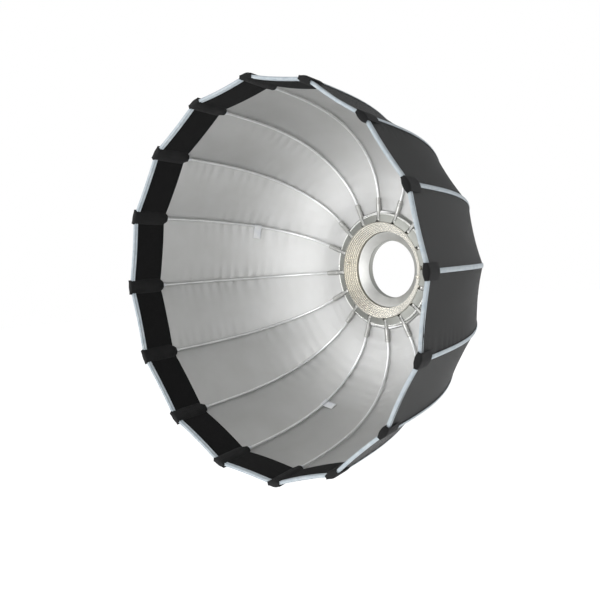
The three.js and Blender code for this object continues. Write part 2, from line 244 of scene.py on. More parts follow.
def rod_along(name, path, radius, material, sides=14):
    """A round rod through a path of points, with closed ends. radius is one number or one for each point."""
    path = np.asarray(path, float)
    ahead = np.gradient(path, axis=0)
    ahead /= np.linalg.norm(ahead, axis=1)[:, None]
    side = np.cross(ahead, np.cross(ahead[len(ahead) // 2], path[-1] - path[0] + np.array([0, 1e-6, 0])))
    if np.linalg.norm(side, axis=1).min() < 1e-6:
        side = np.cross(ahead, np.array([0.3, 0.5, 0.8]))
    side /= np.linalg.norm(side, axis=1)[:, None]
    other = np.cross(ahead, side)
    angles = np.arange(sides) * 2 * math.pi / sides
    size = np.broadcast_to(radius, len(path))[:, None, None]
    rings = path[:, None] + size * (
        np.cos(angles)[None, :, None] * side[:, None] + np.sin(angles)[None, :, None] * other[:, None]
    )
    number = np.arange(rings.shape[0] * sides).reshape(-1, sides)
    turn = np.roll(number, -1, 1)
    faces = np.stack([number[:-1], turn[:-1], turn[1:], number[1:]], -1).reshape(-1, 4).tolist()
    faces += [number[0, ::-1].tolist(), number[-1].tolist()]
    return point_outwards(make(name, rings, faces, material))


def soften(obj, width, segments=2, angle=40):
    """Rounds the sharp edges of a hard piece, and keeps its flats flat."""
    bevel = obj.modifiers.new("edge", "BEVEL")
    bevel.width, bevel.segments = width, segments
    bevel.limit_method, bevel.angle_limit = "ANGLE", math.radians(angle)
    bevel.harden_normals = False
    apply_all(obj)
    obj.data.set_sharp_from_angle(angle=math.radians(35))
    return obj


def apply_all(obj):
    """The mesh as its modifiers leave it."""
    graph = bpy.context.evaluated_depsgraph_get()
    done = bpy.data.meshes.new_from_object(obj.evaluated_get(graph))
    obj.modifiers.clear()
    obj.data = done


print("mesh helpers are ready")

# %% [markdown]
# ## Finishes
# A finish is a small network of shader nodes. Cloth gets a woven bump and uneven colour. Metal gets
# roughness that varies, because bare metal looks false when every spot shines alike. All patterns are
# worked out from the place on the object, so no picture files are needed.
# %% Shader helpers
def new_finish(name, color, roughness, metallic=0.0, **sockets):
    finish = bpy.data.materials.new(name)
    finish.use_nodes = True
    shader = finish.node_tree.nodes["Principled BSDF"]
    shader.inputs["Base Color"].default_value = (*color, 1)
    shader.inputs["Roughness"].default_value = roughness
    shader.inputs["Metallic"].default_value = metallic
    for socket, value in sockets.items():
        shader.inputs[socket.replace("_", " ")].default_value = value
    return finish


def node(finish, kind, links=(), **values):
    """Adds a node, sets its values by socket name, and links (from node, output) to inputs."""
    made = finish.node_tree.nodes.new(kind)
    for key, value in values.items():
        if hasattr(made, key):
            setattr(made, key, value)
        else:
            made.inputs[key.replace("_", " ")].default_value = value
    for source, output, target in links:
        finish.node_tree.links.new(source.outputs[output], made.inputs[target])
    return made


def into_shader(finish, source, output, socket):
    shader = finish.node_tree.nodes["Principled BSDF"]
    finish.node_tree.links.new(source.outputs[output], shader.inputs[socket])


def vary_color(finish, pattern, low, high, output="Fac", start=0.3, end=0.7):
    """Colour that runs from low to high with a pattern."""
    ramp = node(finish, "ShaderNodeValToRGB", [(pattern, output, "Fac")])
    ramp.color_ramp.elements[0].position, ramp.color_ramp.elements[1].position = start, end
    ramp.color_ramp.elements[0].color = (*low, 1)
    ramp.color_ramp.elements[1].color = (*high, 1)
    into_shader(finish, ramp, "Color", "Base Color")
    return ramp


def vary_roughness(finish, pattern, low, high, output="Fac"):
    scaled = node(finish, "ShaderNodeMapRange", [(pattern, output, "Value")], To_Min=low, To_Max=high)
    into_shader(finish, scaled, "Result", "Roughness")


def bump(finish, pattern, depth, output="Fac", strength=1.0, below=None):
    links = [(pattern, output, "Height")]
    if below is not None:
        links.append((below, "Normal", "Normal"))
    made = node(finish, "ShaderNodeBump", links, Distance=depth, Strength=strength)
    into_shader(finish, made, "Normal", "Normal")
    return made


def place_on(finish):
    return node(finish, "ShaderNodeTexCoord")


print("shader helpers are ready")

# %% [markdown]
# The outer cloth is charcoal nylon with a coated back: matt, with a faint sheen and a plain weave. Two
# crossed wave patterns make the weave. They run along the object's own axes, which is near enough to the
# threads at this scale, and a slow noise keeps large panels from looking flat.
# %% Black cloth, tape and loop pile
def woven(finish, threads, depth, below=None):
    place = place_on(finish)
    height = None
    for direction in ("X", "Y", "Z"):
        wave = node(
            finish, "ShaderNodeTexWave", [(place, "Object", "Vector")],
            bands_direction=direction, Scale=threads, Distortion=0.6,
        )
        if height is None:
            height = wave
            continue
        height = node(
            finish, "ShaderNodeMath", [(height, 0 if height.type == "MATH" else "Fac", 0), (wave, "Fac", 1)],
            operation="ADD",
        )
    return bump(finish, height, depth, output=0, below=below)


def slow_noise(finish, scale, detail=3.0):
    place = [(place_on(finish), "Object", "Vector")]
    return node(finish, "ShaderNodeTexNoise", place, Scale=scale, Detail=detail)


black_cloth = new_finish("black_cloth", (0.02, 0.02, 0.02), 0.55, Sheen_Weight=0.02, Specular_IOR_Level=0.12)
patches = slow_noise(black_cloth, 14)
vary_color(black_cloth, patches, (0.013, 0.013, 0.0127), (0.021, 0.021, 0.0205))
vary_roughness(black_cloth, patches, 0.42, 0.56)
woven(black_cloth, 420, 0.00018)

pocket_cloth = new_finish(
    "pocket_cloth", (0.008, 0.008, 0.008), 0.75, Sheen_Weight=0.03, Specular_IOR_Level=0.2,
)
vary_color(pocket_cloth, slow_noise(pocket_cloth, 60), (0.005, 0.005, 0.0052), (0.011, 0.011, 0.0112))
woven(pocket_cloth, 300, 0.00025)

loop_pile = new_finish("loop_pile", (0.006, 0.006, 0.006), 0.95, Sheen_Weight=0.02, Specular_IOR_Level=0.1)
fuzz = slow_noise(loop_pile, 900, 4)
vary_color(loop_pile, fuzz, (0.003, 0.003, 0.003), (0.012, 0.012, 0.0122))
bump(loop_pile, fuzz, 0.0006)

pale_tape = new_finish("pale_tape", (0.47, 0.53, 0.57), 0.55, Sheen_Weight=0.2)
vary_color(pale_tape, slow_noise(pale_tape, 120), (0.42, 0.49, 0.54), (0.56, 0.61, 0.64))
woven(pale_tape, 500, 0.0002)

white_nylon = new_finish("white_nylon", (0.82, 0.83, 0.84), 0.5, Sheen_Weight=0.2)
vary_color(white_nylon, slow_noise(white_nylon, 80), (0.74, 0.76, 0.8), (0.86, 0.87, 0.87))
woven(white_nylon, 500, 0.0002)
print("cloth finishes:", [m.name for m in bpy.data.materials][-5:])

# %% [markdown]
# The lining is cloth with a thin silver coat, so it spreads a soft bright patch instead of showing an
# image. A mostly metallic shader with a middling roughness gives that. Deep in the bowl it mirrors the
# bright room in front, and near the rim it mirrors the other side of the bowl, which is why it darkens
# there.
# %% Silver lining
silver_lining = new_finish("silver_lining", (0.62, 0.62, 0.61), 0.34, metallic=0.9)
clouds = slow_noise(silver_lining, 22, 4)
vary_color(silver_lining, clouds, (0.60, 0.60, 0.59), (0.64, 0.64, 0.635))
vary_roughness(silver_lining, clouds, 0.3, 0.37)
woven(silver_lining, 520, 0.00007)
print("made", silver_lining.name)

# %% [markdown]
# The hub is turned and plated. Turning leaves fine rings round the axis, so the metal's bump is a wave that
# grows with the distance from the axis. The ferrules and the funnel are plainer satin aluminium, and the
# rods are drawn steel wire.
# %% Metals
def ring_marks(finish, scale, depth):
    """Fine turning marks: rings round the object's Y axis."""
    rings = node(
        finish, "ShaderNodeTexWave", [(place_on(finish), "Object", "Vector")],
        wave_type="RINGS", rings_direction="Y", Scale=scale, Distortion=0.4, Detail=2.0,
    )
    return bump(finish, rings, depth)


def metal(name, color, low, high, marks=None, turned_round=False):
    finish = new_finish(name, color, (low + high) / 2, metallic=1.0)
    if turned_round:
        finish.node_tree.nodes["Principled BSDF"].inputs["Anisotropic"].default_value = 0.8
        round_y = node(finish, "ShaderNodeTangent", direction_type="RADIAL", axis="Y")
        into_shader(finish, round_y, "Tangent", "Tangent")
    smears = slow_noise(finish, 70, 5)
    vary_roughness(finish, smears, low, high)
    vary_color(finish, smears, [c * 0.9 for c in color], color)
    if marks:
        ring_marks(finish, *marks)
    return finish


nickel = metal("bright_nickel", (0.86, 0.83, 0.75), 0.2, 0.3, turned_round=True)
# the cone's risers get a darker copy of the bright nickel: painted shade
riser_nickel_painted_shade = metal("riser_nickel_painted_shade", (0.50, 0.47, 0.40), 0.3, 0.4)
lip_nickel = metal("lip_nickel", (0.93, 0.93, 0.90), 0.24, 0.32)
funnel_metal = metal("funnel_satin", (0.62, 0.62, 0.60), 0.42, 0.55)
cast_metal = metal("cast_satin", (0.36, 0.365, 0.34), 0.36, 0.48, (90, 0.00004), turned_round=True)
ferrule_metal = metal("ferrule_satin", (0.55, 0.55, 0.53), 0.3, 0.44)
spring_steel = metal("spring_steel", (0.92, 0.93, 0.93), 0.3, 0.4)
dark_screw = metal("dark_screw", (0.06, 0.06, 0.065), 0.35, 0.5)
print("metals:", [m.name for m in bpy.data.materials][-8:])

# %% [markdown]
# ## The silver lining
# Sixteen panels are sewn rib to rib. Stretched cloth sinks a little between the ribs. Beside each seam the
# stitches gather it, which leaves short puckers at right angles to the seam that die out within a few
# centimetres. A cloth simulation could find these, but a formula keeps them at the right size and gives the
# same result each run.
# %% Lining panels
LINING_STANDOFF = 4.3 * MM
LINING_THICKNESS = 0.35 * MM
SAG = 2.2 * MM
PUCKER = 0.55 * MM
PUCKER_LENGTH = 17 * MM  # from one pucker to the next
PUCKER_REACH = 16 * MM


def grid(start, end, rows, columns):
    """Distances along and shares across, as two arrays of rows by columns."""
    s = np.linspace(start, end, rows)
    # columns crowd towards the seams, where the puckers are
    across = np.sin(np.linspace(-math.pi / 2, math.pi / 2, columns))
    return np.meshgrid(s, across, indexing="ij")


def pucker(rib, s, across, seed=0):
    """How far the cloth stands off its smooth shape, positive outwards."""
    noise = np.random.default_rng(100 + 7 * rib + seed)
    radius = rib_line(s)[0]
    half_width = radius * math.sin(HALF)
    total = SAG * np.cos(across * math.pi / 2) * -np.clip((s - cloth_start) / 0.12, 0, 1)
    for side in (-1, 1):
        from_seam = half_width * (1 - side * across)
        phase = noise.uniform(0, 6)
        wander = 1.3 * np.sin(s / 0.031 + phase) + 0.8 * np.sin(s / 0.013 + 2 * phase)
        size = 0.6 + 0.4 * np.sin(s / 0.052 + noise.uniform(0, 6))
        wave = np.sin(2 * math.pi * s / PUCKER_LENGTH + wander)
        total = total + PUCKER * size * wave * np.exp(-((from_seam / PUCKER_REACH) ** 1.2))
    lean, across_phase = noise.uniform(-1, 1), noise.uniform(0, 6)
    slow = np.sin(s / 0.045 + lean * across * 2 + across_phase) * np.cos(across * math.pi / 2)
    return total + 0.5 * MM * slow


def name_of(kind, rib):
    return "%s_%02d" % (kind, rib % RIBS + 1)


def bend_with_ribs(piece, rib):
    """Bakes the piece's placement into its mesh."""
    out, round_ = spoke((rib + 0.5) * STEP)
    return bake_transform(piece)


def panel_sheet(kind, rib, start, end, standoff, thickness, material, rows, columns, seed=0):
    s, across = grid(start, end, rows, columns)
    wrinkle = pucker(rib, s, across, seed)
    front = panel_points(rib, s, across, standoff + wrinkle)
    back = panel_points(rib, s, across, standoff + thickness + wrinkle)
    return closed_sheet(name_of(kind, rib), front, back, material)


for rib in range(RIBS):
    lining = panel_sheet(
        "lining", rib, cloth_start, rib_end - 1 * MM, LINING_STANDOFF, LINING_THICKNESS, silver_lining,
        130, 23,
    )
    bend_with_ribs(lining, rib)

# %% [markdown]
# ## The outer cloth
# The same cut in charcoal nylon lies just outside the lining. It stands for the plain panels of the frame
# model, which are then hidden. It shares the lining's sag, with its own, fainter puckers.
# %% Outer panels
OUTER_THICKNESS = 0.6 * MM
outer_panels = []
for rib in range(RIBS):
    outer = panel_sheet(
        "outer_cloth", rib, cloth_start, rib_end, CLOTH_STANDOFF + 0.2 * MM, OUTER_THICKNESS, black_cloth,
        100, 19, seed=3,
    )
    bend_with_ribs(outer, rib)
    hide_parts(name_of("gore", rib))
    outer_panels.append(outer)
print(len(outer_panels), "outer panels")

# %% [markdown]
# ## The band inside the rim
# A band of black loop pile is sewn round the inside of the rim, to hold a front diffuser or a grid. It is
# stiffer than the lining, so it has only a slight sag. Each panel has its own length of band, because the
# band folds at every rib when the bowl is folded.
# %% Loop band
BAND_WIDTH = 54 * MM
BAND_EDGE = 2 * MM
BAND_STANDOFF = 2.4 * MM
BAND_THICKNESS = 1.5 * MM
bands = []
for rib in range(RIBS):
    s, across = grid(rib_end - BAND_EDGE - BAND_WIDTH, rib_end - BAND_EDGE, 22, 21)
    lift = pucker(rib, s, across)
    front = panel_points(rib, s, across, BAND_STANDOFF + lift * 0.9)
    back = panel_points(rib, s, across, BAND_STANDOFF + BAND_THICKNESS + lift * 0.9)
    band = closed_sheet(name_of("loop_band", rib), front, back, loop_pile)
    bend_with_ribs(band, rib)
    bands.append(band)
print(len(bands), "lengths of band,", round(BAND_WIDTH / MM), "mm wide")

# %% [markdown]
# ## The piping on the rim
# A pale tape is folded over the raw edge of the cloth, from corner to corner. Its section is a half round
# over the edge with a straight leg on each side. The stitching presses a groove along each leg, and that
# groove is what draws the thin dark line that a folded tape shows from the front.
# %% Rim piping
PIPING_LEG = 5 * MM
PIPING_SHARE = 0.89  # of the way from the middle of a panel to its corner
PIPING_OVER = 2 * MM
PIPING_THICKNESS = 0.45 * MM


def piping_section():
    """(s past the rim, standoff) along the folded tape, from its inner edge to its outer edge."""
    inner, outer = BAND_STANDOFF - 1.0 * MM, CLOTH_STANDOFF + 1.4 * MM
    centre, half = (inner + outer) / 2, (outer - inner) / 2
    turn = np.linspace(-math.pi / 2, math.pi / 2, 11)
    bow = np.stack([PIPING_OVER * np.cos(turn), centre + half * np.sin(turn)], -1)
    leg = np.linspace(-PIPING_LEG, -0.4 * MM, 9)
    groove = 0.8 * MM * np.exp(-(((leg + 0.42 * PIPING_LEG) / (0.7 * MM)) ** 2))
    inner_leg = np.stack([leg, inner + groove], -1)
    outer_leg = np.stack([leg[::-1], outer - groove[::-1]], -1)
    return np.concatenate([inner_leg, bow, outer_leg])


section = piping_section()
along_section = np.gradient(section, axis=0)
inwards = np.stack([-along_section[:, 1], along_section[:, 0]], -1)
inwards /= np.linalg.norm(inwards, axis=1)[:, None]
for rib in range(RIBS):
    across = np.linspace(-PIPING_SHARE, PIPING_SHARE, 25)
    layers = []
    for depth in (0, PIPING_THICKNESS):
        line = section + inwards * depth
        s, a = np.meshgrid(line[:, 0] + rib_end, across, indexing="ij")
        lift = pucker(rib, np.full_like(a, rib_end - 2 * MM), a)
        layers.append(panel_points(rib, s, a, line[:, 1][:, None] + lift))
    piping = closed_sheet(name_of("rim_piping", rib), layers[0], layers[1], pale_tape)
    bend_with_ribs(piping, rib)
print("piping stands", PIPING_OVER / MM, "mm past the rim")

# %% [markdown]
# ## Pockets, sleeves and seam tapes
# At each rib the rim has a sewn corner pocket that takes the rod's tip. Inside, a raised black sleeve
# covers the rod where it crosses the band, and ends in a small tab. Outside, a pale tape covers the seam
# from the hub to the pocket. These pieces belong to one rib each, so they ride on it whole.
# %% Seam tapes
TAPE_HALF = 3.6 * MM
TAPE_THICKNESS = 0.7 * MM
tape_s = np.linspace(cloth_start + 4 * MM, rib_end - 22 * MM, 90)
tape_side = np.linspace(-1, 1, 9)
for rib in range(RIBS):
    taper = np.clip((tape_s - tape_s[0]) / (30 * MM), 0.35, 1)
    rows, sides = np.meshgrid(tape_s, tape_side, indexing="ij")
    sides = sides * TAPE_HALF * taper[:, None]
    crown = 0.5 * MM * (1 - (sides / TAPE_HALF) ** 2)
    height = CLOTH_STANDOFF + 1.0 * MM + crown
    front = corner_points(rib, rows, sides, height)
    back = corner_points(rib, rows, sides, height + TAPE_THICKNESS)
    tape = closed_sheet(name_of("seam_tape", rib), back, front, pale_tape)
    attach(tape, name_of("rib", rib))
print("seam tapes are", 2 * TAPE_HALF / MM, "mm wide")

# %% [markdown]
# The pocket and the sleeve are one strap, folded over the rim. Its path, seen from the side, is a letter U:
# along the inside over the rod and across the band, over the edge, and down the outside. The strap is bent
# round the corner between the two panels, and its edges are sewn down, so it is flat at both sides and
# humped over the rod.
# %% Corner pockets
POCKET_HALF = 12 * MM
POCKET_IN, POCKET_OUT = 60 * MM, 29 * MM
POCKET_OVER = 3 * MM
POCKET_CLOTH = 0.9 * MM
ROD_RADIUS = 2 * MM
inside_height, outside_height = -ROD_RADIUS - 0.6 * MM - POCKET_CLOTH, CLOTH_STANDOFF + 2.2 * MM


def pocket_path(grow=0.0):
    """(s, standoff) along the middle of the U, moved outwards by grow."""
    low, high = inside_height + POCKET_CLOTH - grow, outside_height + grow
    bow = np.linspace(-math.pi / 2, math.pi / 2, 15)
    # a flattened bow, fuller than a circle
    over = (POCKET_OVER + grow) * np.abs(np.cos(bow)) ** 0.6
    arch = np.stack([rib_end + over, (low + high) / 2 + (high - low) / 2 * np.sin(bow)], -1)
    legs_in = np.stack([np.linspace(rib_end - POCKET_IN, rib_end - 2 * MM, 22), np.full(22, low)], -1)
    legs_out = np.stack([np.linspace(rib_end - 2 * MM, rib_end - POCKET_OUT, 12), np.full(12, high)], -1)
    return np.concatenate([legs_in, arch, legs_out])


def pocket_surface(rib, grow):
    path = pocket_path(grow)
    share = np.sin(np.linspace(-math.pi / 2, math.pi / 2, 25))
    s, shares = np.meshgrid(path[:, 0], share, indexing="ij")
    height = np.repeat(path[:, 1][:, None], len(share), 1)
    inner = height < (inside_height + outside_height) / 2
    # the strap narrows in its last stretch past the band, and a little at its outer end
    past_band = np.clip((s - (rib_end - POCKET_IN)) / (9 * MM), 0, 1)
    past_end = np.clip((s - (rib_end - POCKET_OUT)) / (5 * MM), 0, 1)
    half = POCKET_HALF * np.where(inner, 0.55 + 0.45 * past_band, 0.88 + 0.12 * past_end)
    sides = shares * (half + grow * 0.5)
    # both legs settle onto the cloth at their side edges
    settle = np.clip((np.abs(sides) - ROD_RADIUS) / (half - ROD_RADIUS), 0, 1) ** 1.6
    on_band = BAND_STANDOFF - 0.4 * MM - grow
    on_cloth = CLOTH_STANDOFF + 1.1 * MM + grow
    rest = np.where(inner, on_band, on_cloth)
    return corner_points(rib, s, sides, height + (rest - height) * settle, soft=4 * MM)


for rib in range(RIBS):
    pocket = closed_sheet(
        name_of("corner_pocket", rib), pocket_surface(rib, POCKET_CLOTH), pocket_surface(rib, 0.0),
        pocket_cloth,
    )
    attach(pocket, name_of("rib", rib))
print("pockets are", 2 * POCKET_HALF / MM, "mm wide and reach", POCKET_IN / MM, "mm in")

# %% [markdown]
# ## Ribs and levers
# A rib is a steel rod pressed and crimped into a ferrule, and the ferrule ends in a flat bar with an eye
# that turns on the hinge wire. The rod follows the rib line. The ferrule and the bar are made once, in the
# plane of the top rib, and copied round.
# %% Rods
FERRULE_LENGTH = 24 * MM
ferrule_end = ferrule_start + FERRULE_LENGTH
rod_s = np.concatenate([
    np.linspace(ferrule_end - 17 * MM, straight, 6)[:-1],
    np.linspace(straight, rib_end - 8 * MM, 70),
])
for rib in range(RIBS):
    out, round_ = spoke(rib * STEP)
    radius, ahead = rib_line(rod_s)
    path = radius[:, None] * out
    path[:, 1] -= ahead
    rod = rod_along(name_of("rib_rod", rib), path, ROD_RADIUS, spring_steel)
    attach(rod, name_of("rib", rib))
    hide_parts(name_of("rod", rib))
    clip_s = rib_end - POCKET_IN + np.linspace(-7, 3, 9) * MM
    clip_radius, clip_ahead = rib_line(clip_s)
    clip_path = clip_radius[:, None] * out
    clip_path[:, 1] -= clip_ahead
    swell = 1 + 0.35 * np.sin(np.linspace(0, math.pi, 9))
    clip = rod_along(name_of("rod_clip", rib), clip_path, ROD_RADIUS * swell, white_nylon)
    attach(clip, name_of("rib", rib))
print("rods are", 2 * ROD_RADIUS / MM, "mm thick and", round((rod_s[-1] - rod_s[0]) / MM), "mm long")

# %% [markdown]
# The ferrule is turned, with a chamfered mouth and two rolled crimps that bite the rod. Its profile is a
# short list of radii along its length, spun round its own line. The bar is a block with rounded edges, and
# the eye is a thick washer. They are joined into one mesh, as the real lever is one piece.
# %% Levers
LEVER_WIDTH, LEVER_HEIGHT, EYE_RADIUS, WIRE_HOLE = 5 * MM, 5.6 * MM, 3.6 * MM, 1.5 * MM
FERRULE_RADIUS = 4 * MM


def ferrule_profile():
    """(distance from the pivot, radius), with two crimps near the mouth."""
    along = np.linspace(0, FERRULE_LENGTH, 49)
    radius = np.full(49, FERRULE_RADIUS)
    for crimp in (0.62, 0.8):
        radius -= 0.55 * MM * np.exp(-(((along / FERRULE_LENGTH - crimp) / 0.035) ** 2))
    ends = np.minimum(along, FERRULE_LENGTH - along)
    radius -= 0.5 * MM * np.exp(-ends / (0.5 * MM))
    return ferrule_start + along, radius


def block(name, low, high, material):
    corners = [(x, y, z) for x in (low[0], high[0]) for y in (low[1], high[1]) for z in (low[2], high[2])]
    faces = [(0, 1, 3, 2), (4, 6, 7, 5), (0, 4, 5, 1), (2, 3, 7, 6), (0, 2, 6, 4), (1, 5, 7, 3)]
    return point_outwards(make(name, corners, faces, material, smooth=False))


def washer(name, inner, outer, half_width, material, sides=40):
    """A thick ring about the X axis."""
    angles = np.arange(sides) * 2 * math.pi / sides
    edge = 0.4 * MM
    section = [
        (outer - edge, -half_width), (outer, edge - half_width), (outer, half_width - edge),
        (outer - edge, half_width), (inner + edge, half_width), (inner, half_width - edge),
        (inner, edge - half_width), (inner + edge, -half_width),
    ]
    points = [[(x, r * math.sin(a), r * math.cos(a)) for r, x in section] for a in angles]
    number = np.arange(sides * len(section)).reshape(sides, -1)
    nxt = np.roll(number, -1, 0)
    faces = np.stack([number, np.roll(number, -1, 1), np.roll(nxt, -1, 1), nxt], -1).reshape(-1, 4).tolist()
    return point_outwards(make(name, points, faces, material))


def joined(parts, name):
    """One mesh that holds all the parts."""
    shape = bmesh.new()
    for part in parts:
        shape.from_mesh(part.data)
    mesh = bpy.data.meshes.new(name)
    shape.to_mesh(mesh)
    shape.free()
    mesh.materials.append(parts[0].data.materials[0])
    for part in parts:
        bpy.data.objects.remove(part)
    return mesh


along, radii = ferrule_profile()
ferrule = rod_along("ferrule", [(0, 0, s) for s in along], radii, ferrule_metal, sides=28)
bar = soften(block(
    "bar", (-LEVER_WIDTH / 2, -LEVER_HEIGHT / 2, EYE_RADIUS * 0.7),
    (LEVER_WIDTH / 2, LEVER_HEIGHT / 2, ferrule_start + 1 * MM), ferrule_metal,
), 0.8 * MM, 3)
eye = washer("eye", WIRE_HOLE, EYE_RADIUS, LEVER_WIDTH / 2 + 0.3 * MM, ferrule_metal)
lever_mesh = joined([ferrule, bar, eye], "lever")
lever_mesh.transform(Matrix.Rotation(TILT, 4, "X"))
lever_mesh.transform(Matrix.Translation((0, -PIVOT_AHEAD, PIVOT_RADIUS)))
for rib in range(RIBS):
    mesh = lever_mesh.copy()
    mesh.transform(Matrix.Rotation(rib * STEP, 4, "Y"))
    lever = bpy.data.objects.new(name_of("rib_lever", rib), mesh)
    bpy.context.scene.collection.objects.link(lever)
    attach(lever, name_of("rib", rib))
    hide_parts(name_of("lever", rib))
print("each lever has", len(lever_mesh.polygons), "faces")

# %% [markdown]
# ## The hub
# The hub is a cast and turned ring. Behind its sloping front lies a hollow trough, and sixteen slots let
# the levers swing out through the front and the wall. The section is spun first. The slots are then cut by
# a boolean, and all sharp edges are rounded after it, so that the slots' edges catch the light too.
# %% Hub ring
def chamfered(corners, width=0.6 * MM):
    """The corners of a closed section, each cut off by a small chamfer."""
    points, count = [], len(corners)
    for k in range(count):
        before, here, after = (Vector(corners[(k + d) % count]) for d in (-1, 0, 1))
        cut = min(width, (before - here).length / 3, (after - here).length / 3)
        points.append(here + (before - here).normalized() * cut)
        points.append(here + (after - here).normalized() * cut)
    return [tuple(p) for p in points]


hub_low, hub_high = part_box("hub_body")
COVER_FRONT, LIP_FRONT, HUB_BACK = -hub_low.y, 35.5 * MM, 12 * MM
WALL, COVER = 4 * MM, 2.2 * MM
FLOOR_TOP = HUB_BACK + 4 * MM
REAR = -hub_high.y
SLOT_WIDTH = 6.6 * MM
SKIRT_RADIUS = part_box("stepped_reflector")[1].x
cover_inner = SKIRT_RADIUS + 0.3 * MM
wall_inner = HUB_RADIUS - WALL
slot_floor = PIVOT_AHEAD - 3.6 * MM

hub_section = chamfered([
    (HUB_RADIUS, HUB_BACK), (HUB_RADIUS, LIP_FRONT), (HUB_RADIUS - 2 * MM, LIP_FRONT + 1.1 * MM),
    (HUB_RADIUS - 3.2 * MM, LIP_FRONT + 0.4 * MM), (cover_inner, COVER_FRONT),
    (cover_inner, COVER_FRONT - COVER), (wall_inner, LIP_FRONT - COVER), (wall_inner, FLOOR_TOP),
    (60 * MM, FLOOR_TOP), (60 * MM, HUB_BACK), (62 * MM, HUB_BACK), (62 * MM, REAR), (73 * MM, REAR),
    (73 * MM, HUB_BACK),
], 0.5 * MM)
hub = turned("hub_ring", hub_section, cast_metal)


def slot_cutter():
    """Sixteen blocks with round floors, as one mesh."""
    shape = bmesh.new()
    for rib in range(RIBS):
        half, low, high = SLOT_WIDTH / 2, slot_floor, COVER_FRONT + 5 * MM
        curve = [(-half, high)] + [
            (half * math.sin(t), low + half * 0.5 * (1 - math.cos(t))) for t in np.linspace(-1.57, 1.57, 9)
        ] + [(half, high)]
        ends = []
        for radius in (SKIRT_RADIUS - 1 * MM, HUB_RADIUS + 2 * MM):
            ends.append([shape.verts.new((x, -a, radius)) for x, a in curve])
        count = len(curve)
        faces = [ends[0], ends[1][::-1]]
        for k in range(count):
            faces.append([ends[0][k], ends[1][k], ends[1][(k + 1) % count], ends[0][(k + 1) % count]])
        for corners in faces:
            shape.faces.new(corners)
        turn = Matrix.Rotation(rib * STEP, 3, "Y")
        bmesh.ops.rotate(shape, verts=ends[0] + ends[1], cent=(0, 0, 0), matrix=turn)
    bmesh.ops.recalc_face_normals(shape, faces=shape.faces)
    mesh = bpy.data.meshes.new("slots")
    shape.to_mesh(mesh)
    shape.free()
    cutter = bpy.data.objects.new("slots", mesh)
    bpy.context.scene.collection.objects.link(cutter)
    return cutter


cutter = slot_cutter()
cut = hub.modifiers.new("slots", "BOOLEAN")
cut.operation, cut.object, cut.solver = "DIFFERENCE", cutter, "EXACT"
apply_all(hub)
bpy.data.objects.remove(cutter)
soften(hub, 0.4 * MM, 2, 45)
hub.data.materials.append(lip_nickel)
for face in hub.data.polygons:
    radius = math.hypot(face.center.x, face.center.z)
    if radius > HUB_RADIUS - 3 * MM and -face.center.y > LIP_FRONT - 1 * MM:
        face.material_index = 1
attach(hub, "hub")
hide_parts("hub_body")
print("the hub ring has", len(hub.data.polygons), "faces")

# %% [markdown]
# ## Cone, funnel and mount ring
# The bright cone in front is turned in fine concentric steps, which break up the lamp's image. The funnel
# behind it is plain. Both are spun. Each step is a rounded tread and a riser, so that it shows one bright
# line and one dark line. The dark line comes partly from the riser's shape and partly from painted shade.
# %% Stepped cone
CONE_STEPS = 7
CONE_BORE = 65 * MM
CONE_BACK, CONE_FRONT = 25 * MM, -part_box("stepped_reflector")[0].y
cone_outer = SKIRT_RADIUS - 1.5 * MM


def cone_section():
    run = (cone_outer - CONE_BORE) / CONE_STEPS
    rise = (CONE_FRONT - CONE_BACK) / CONE_STEPS
    points = []
    for k in range(CONE_STEPS):
        radius, ahead = CONE_BORE + k * run, CONE_BACK + k * rise
        # each step is a shallow rounded tread and then a riser
        points += [(radius + run * 0.06, ahead - rise * 0.02), (radius + run * 0.5, ahead - rise * 0.1)]
        points += [(radius + run * 0.94, ahead + rise * 0.04), (radius + run, ahead + rise * 0.14)]
        points += [(radius + run, ahead + rise * 0.86)]
    points += [(cone_outer + 0.3 * MM, CONE_FRONT), (SKIRT_RADIUS - 0.3 * MM, CONE_FRONT)]
    points += [(SKIRT_RADIUS, CONE_FRONT - 0.4 * MM), (SKIRT_RADIUS, FLOOR_TOP + 0.3 * MM)]
    points += [(cone_outer, FLOOR_TOP + 0.3 * MM), (cone_outer, CONE_FRONT - rise - 2.2 * MM)]
    points += [(CONE_BORE, CONE_BACK - rise - 2 * MM)]
    return points


cone = turned("stepped_cone", cone_section(), nickel)
cone.data.set_sharp_from_angle(angle=math.radians(40))
# faces that turn towards the axis, the risers, get the darker nickel copy: painted shade
cone.data.materials.append(riser_nickel_painted_shade)
for face in cone.data.polygons:
    inwards_share = Vector((face.center.x, 0, face.center.z)).normalized().dot(face.normal)
    if inwards_share < -0.75 and -face.center.y < CONE_FRONT:
        face.material_index = 1
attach(cone, "hub")
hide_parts("stepped_reflector")
print("the cone has", CONE_STEPS, "steps between", CONE_BORE / MM, "and", round(cone_outer / MM, 1), "mm")

# %% Throat funnel
THROAT_RADIUS, FUNNEL_WALL = 49 * MM, 1.6 * MM
funnel_low, funnel_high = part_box("throat_funnel")
funnel = turned("funnel", chamfered([
    (THROAT_RADIUS, -funnel_high.y), (THROAT_RADIUS + FUNNEL_WALL, -funnel_high.y),
    (funnel_high.x, -funnel_low.y - FUNNEL_WALL), (funnel_high.x, -funnel_low.y),
    (funnel_high.x - FUNNEL_WALL, -funnel_low.y),
], 0.4 * MM), funnel_metal)
funnel.data.set_sharp_from_angle(angle=math.radians(40))
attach(funnel, "hub")
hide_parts("throat_funnel")
print("the funnel opens from", THROAT_RADIUS / MM, "to", round(funnel_high.x / MM, 1), "mm")

# %% [markdown]
# The mount ring closes the back. Three bayonet claws stand behind its flange, each an arc with an outward
# lip. The arcs are swept round the axis from a small L-shaped section.
# %% Mount ring
FLANGE_RADIUS = 75 * MM
CLAW_ANGLE = math.radians(40)


